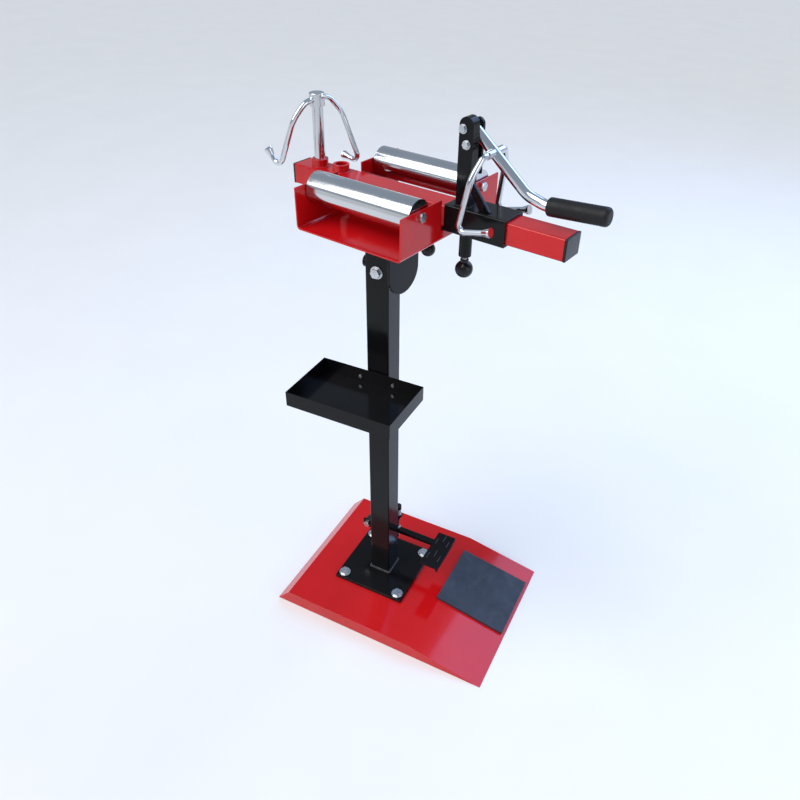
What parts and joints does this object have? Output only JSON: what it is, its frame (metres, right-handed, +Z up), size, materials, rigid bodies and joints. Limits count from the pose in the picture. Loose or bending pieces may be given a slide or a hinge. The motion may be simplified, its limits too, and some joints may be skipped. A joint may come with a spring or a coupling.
{
  "type": "tyre spreader stand",
  "caption": "Pedestal tyre spreader: wedge base, square column, tray, foot pedal, swivelling roller head, spreading hooks and a hand lever on a sliding carriage.",
  "frame": {"origin": "column axis on the floor, on the base keel's underside", "axes": "+Z up the column; +X towards the ramp and the hand lever side; +Y to the back, where the pedal bar runs"},
  "size_m": [0.7036, 0.408, 1.275],
  "materials": {
    "red_paint": "gloss",
    "black_paint": "gloss",
    "chrome": "gloss",
    "zinc": "satin",
    "rubber": "matte",
    "black_plastic": "satin",
    "machined_steel": "satin"
  },
  "bodies": {
    "stand": {"base_pan": "red_paint", "base_keel": "red_paint", "foot_mat": "rubber", "foot_plate": "black_paint", "foot_bolts": "zinc", "column": "black_paint", "top_bush": "black_paint", "bush_bolt": "zinc", "bush_pin": "black_paint", "tray_bracket": "black_paint", "tray": "black_paint", "tray_bolts": "zinc", "pedal_bracket": "black_paint", "rod_guide": "black_paint", "pedal_pin": "zinc", "return_spring": "machined_steel"},
    "head": {"spindle": "machined_steel", "saddle": "black_paint", "cradle": "red_paint", "beam_seat": "red_paint", "beam": "red_paint", "beam_end_cap": "black_plastic", "beam_tail_cap": "black_plastic", "sockets": "red_paint", "axle_front": "zinc", "axle_rear": "zinc"},
    "front_roller": {"roller_front": "chrome"},
    "rear_roller": {"roller_rear": "chrome"},
    "post": {"left_post": "chrome", "post_screw": "zinc"},
    "left_hook_front": {"left_hook_front": "chrome"},
    "left_hook_rear": {"left_hook_rear": "chrome"},
    "carriage": {"sleeve": "black_paint", "cheek": "black_paint", "ear": "black_paint", "cheek_brace": "black_paint", "lever_pivot": "zinc", "lever_stop": "zinc"},
    "lever": {"lever": "chrome", "lever_grip": "rubber", "cross_tube": "chrome"},
    "right_hook_front": {"right_hook_front": "chrome"},
    "right_hook_rear": {"right_hook_rear": "chrome"},
    "lock_screw": {"lock_screw": "machined_steel", "lock_knob": "black_plastic"},
    "clamp_screw": {"clamp_screw": "machined_steel", "clamp_knob": "black_plastic"},
    "pedal": {"pedal": "black_paint"},
    "rod": {"return_rod": "zinc", "rod_knob": "black_plastic"}
  },
  "joints": [
    {"name": "head_swivel", "type": "hinge", "parent": "stand", "child": "head", "pos_m": [0, 0, 1.03], "axis": [0, 0, 1], "continuous": true},
    {"name": "front_roller_spin", "type": "hinge", "parent": "head", "child": "front_roller", "pos_m": [0.02189, -0.10356, 1.119], "axis": [0.984, -0.1783, 0], "continuous": true},
    {"name": "rear_roller_spin", "type": "hinge", "parent": "head", "child": "rear_roller", "pos_m": [0.05683, 0.0893, 1.119], "axis": [0.984, -0.1783, 0], "continuous": true},
    {"name": "post_turn", "type": "hinge", "parent": "head", "child": "post", "pos_m": [-0.15744, 0.02853, 1.117], "axis": [0, 0, 1], "range_deg": [-8, 8]},
    {"name": "left_hook_front_swing", "type": "hinge", "parent": "post", "child": "left_hook_front", "pos_m": [-0.16011, 0.01377, 1.245], "axis": [-0.1783, -0.984, 0], "range_deg": [-39, 46]},
    {"name": "left_hook_rear_swing", "type": "hinge", "parent": "post", "child": "left_hook_rear", "pos_m": [-0.15476, 0.04329, 1.245], "axis": [-0.1783, -0.984, 0], "range_deg": [-81, 4]},
    {"name": "carriage_slide", "type": "slide", "parent": "head", "child": "carriage", "axis": [0.984, -0.1783, 0], "range_m": [0, 0.1]},
    {"name": "lever_lift", "type": "hinge", "parent": "carriage", "child": "lever", "pos_m": [0.18838, -0.026, 1.255], "axis": [-0.1783, -0.984, 0], "range_deg": [0, 90]},
    {"name": "right_hook_front_swing", "type": "hinge", "parent": "lever", "child": "right_hook_front", "pos_m": [0.22937, -0.05782, 1.218], "axis": [-0.1783, -0.984, 0], "range_deg": [-25, 70]},
    {"name": "right_hook_rear_swing", "type": "hinge", "parent": "lever", "child": "right_hook_rear", "pos_m": [0.23792, -0.01059, 1.218], "axis": [-0.1783, -0.984, 0], "range_deg": [-25, 70]},
    {"name": "lock_screw_back_off", "type": "slide", "parent": "carriage", "child": "lock_screw", "axis": [0, 0, -1], "range_m": [0, 0.008]},
    {"name": "clamp_screw_back_off", "type": "slide", "parent": "head", "child": "clamp_screw", "axis": [0.984, -0.1783, 0], "range_m": [0, 0.008]},
    {"name": "pedal_press", "type": "hinge", "parent": "stand", "child": "pedal", "pos_m": [-0.068, 0.046, 0.145], "axis": [0, 1, 0], "range_deg": [0, 8], "stiffness_Nm_per_rad": 12, "springref_deg": -8.02},
    {"name": "rod_pull", "type": "slide", "parent": "stand", "child": "rod", "axis": [0, 0, 1], "range_m": [-0.0121, 0], "deforming": ["return_spring"]}
  ],
  "couplings": [
    {"joint": "rod_pull", "follows": "pedal_press", "m_per_rad": -0.086}
  ]
}
